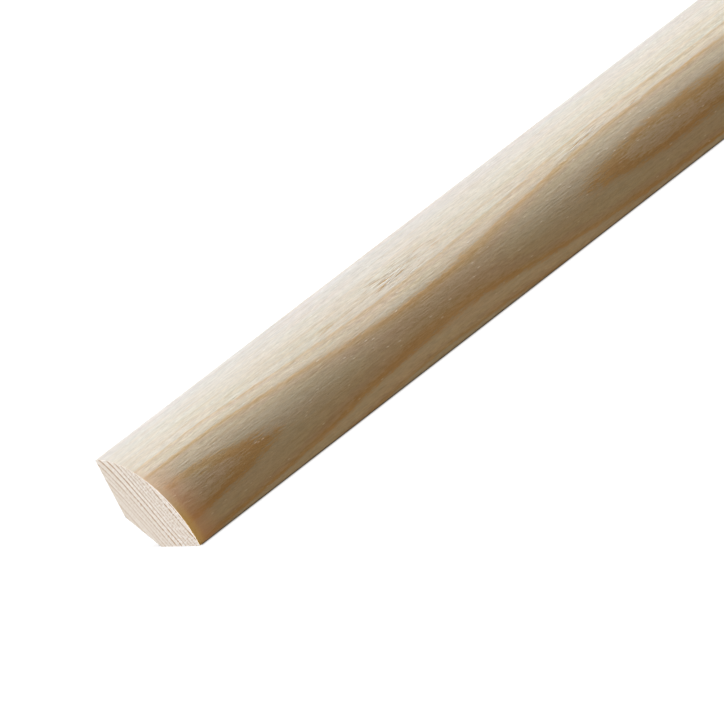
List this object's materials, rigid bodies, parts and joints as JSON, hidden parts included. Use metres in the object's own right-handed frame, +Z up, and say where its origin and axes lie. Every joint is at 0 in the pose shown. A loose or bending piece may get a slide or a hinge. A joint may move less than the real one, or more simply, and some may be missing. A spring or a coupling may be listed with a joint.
{
  "type": "quarter round moulding",
  "caption": "Length of planed pine quarter round that covers a corner joint: quarter-circle face, flat legs, back corner relieved at 45 degrees, square sawn ends.",
  "frame": {"origin": "middle of the bounding box's underside, on the floor leg's face, halfway along the length", "axes": "+X along the length, +Y out of the wall leg's face, +Z up out of the floor, so that the round faces -Y and +Z"},
  "size_m": [0.9, 0.018, 0.018],
  "materials": {
    "planed_pine": "bare planed pine, unfinished, fine straight grain with cathedral figure on the round"
  },
  "bodies": {
    "root": {"quarter_round_moulding": "planed_pine"}
  },
  "joints": []
}
